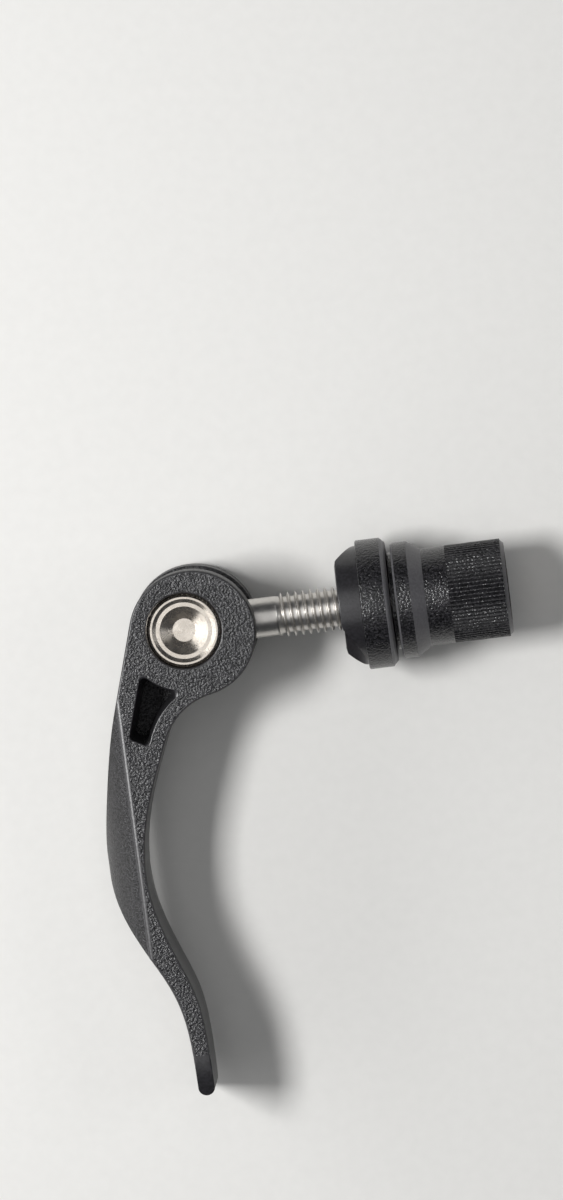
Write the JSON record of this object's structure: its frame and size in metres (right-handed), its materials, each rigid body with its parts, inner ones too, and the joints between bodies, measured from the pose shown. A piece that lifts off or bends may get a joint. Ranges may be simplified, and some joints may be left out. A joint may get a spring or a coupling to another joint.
{
  "type": "seatpost quick release bolt",
  "caption": "Quick release clamp bolt: a curved cam lever on a barrel pivot, a threaded stud, a troughed cam washer and a knurled thumb nut with a threaded bush.",
  "frame": {"origin": "where the bolt's axis crosses the lever's pivot axis", "axes": "+X along the bolt towards the thumb nut, +Z along the pivot axis, upwards as the bolt lies on its side, and the lever's arm towards -Y"},
  "size_m": [0.0578, 0.071, 0.0174],
  "materials": {
    "lever_nylon": "spark-grained black glass-filled nylon",
    "nickel_plate": "bright nickel plate on turned steel",
    "stud_steel": "bright zinc plate on a rolled thread",
    "washer_nylon": "grained black nylon",
    "nut_nylon": "grained and knurled black nylon",
    "bush_brass": "turned brass"
  },
  "bodies": {
    "bolt": {"stud": "stud_steel", "pivot_barrel": "nickel_plate"},
    "lever": {"lever": "lever_nylon"},
    "washer": {"cam_washer": "washer_nylon"},
    "nut_carrier": {"nut_insert": "bush_brass"},
    "nut": {"nut_knob": "nut_nylon"}
  },
  "joints": [
    {"name": "lever_pivot", "type": "hinge", "parent": "bolt", "child": "lever", "pos_m": [0, 0, 0], "axis": [0, 0, 1], "range_deg": [-180, 0]},
    {"name": "washer_slide", "type": "slide", "parent": "bolt", "child": "washer", "axis": [1, 0, 0], "range_m": [-0.01, 0]},
    {"name": "nut_travel", "type": "slide", "parent": "bolt", "child": "nut_carrier", "axis": [1, 0, 0], "range_m": [0, 0.008]},
    {"name": "nut_turn", "type": "hinge", "parent": "nut_carrier", "child": "nut", "pos_m": [0.036, 0, 0], "axis": [1, 0, 0], "range_deg": [0, 2890]}
  ],
  "couplings": [
    {"joint": "nut_turn", "follows": "nut_travel", "rad_per_m": 6283.2}
  ]
}
